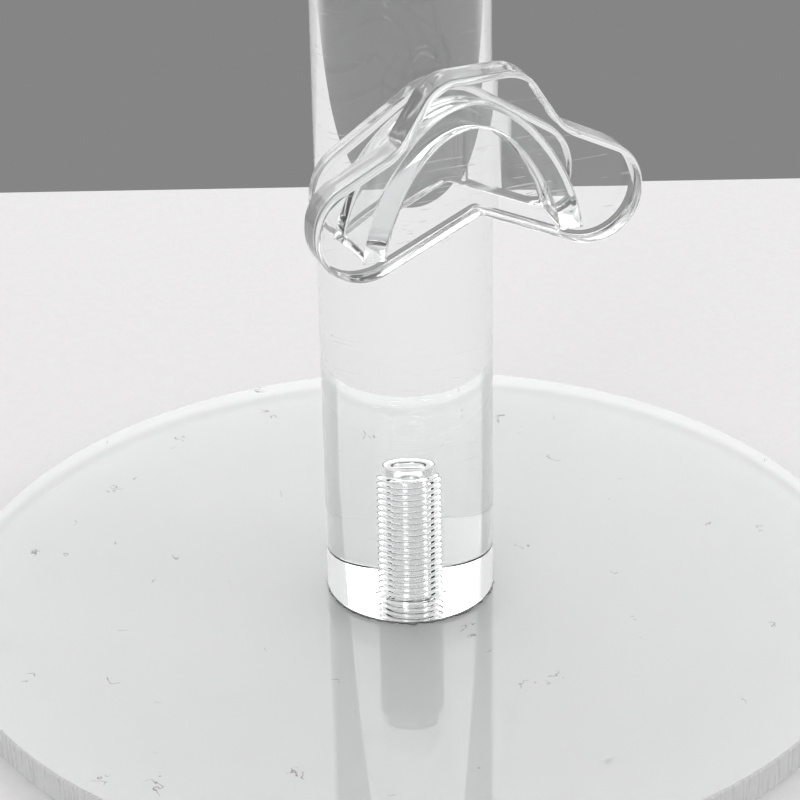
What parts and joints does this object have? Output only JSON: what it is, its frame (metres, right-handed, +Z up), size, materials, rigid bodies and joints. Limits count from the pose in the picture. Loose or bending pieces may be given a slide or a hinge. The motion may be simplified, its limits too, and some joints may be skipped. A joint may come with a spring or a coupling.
{
  "type": "turntable display stand",
  "caption": "Clear acrylic display stand: a round post that turns on a round base disc and carries a nose-shaped saddle for a light item.",
  "frame": {"origin": "centre of the base disc's underside, on the axis that the post turns about", "axes": "+Z up along the post, -Y out of the saddle's front plate, +X to the right of someone who faces the saddle"},
  "size_m": [0.138, 0.138, 0.12],
  "materials": {
    "clear_acrylic_disc": "clear, polished faces and a finely cut rim",
    "clear_acrylic_post": "clear, polished rod",
    "clear_acrylic_saddle": "clear, polished, rounded edges",
    "clear_film": "frosted clear film",
    "zinc_plated_steel": "bright zinc plate"
  },
  "bodies": {
    "base": {"base_disc": "clear_acrylic_disc", "slip_washer": "clear_film"},
    "spindle": {"post": "clear_acrylic_post", "pivot_screw": "zinc_plated_steel", "saddle_back_plate": "clear_acrylic_saddle", "saddle_arch": "clear_acrylic_saddle", "saddle_front_plate": "clear_acrylic_saddle"}
  },
  "joints": [
    {"name": "post_turn", "type": "hinge", "parent": "base", "child": "spindle", "pos_m": [0, 0, 0.005], "axis": [0, 0, 1], "continuous": true}
  ]
}
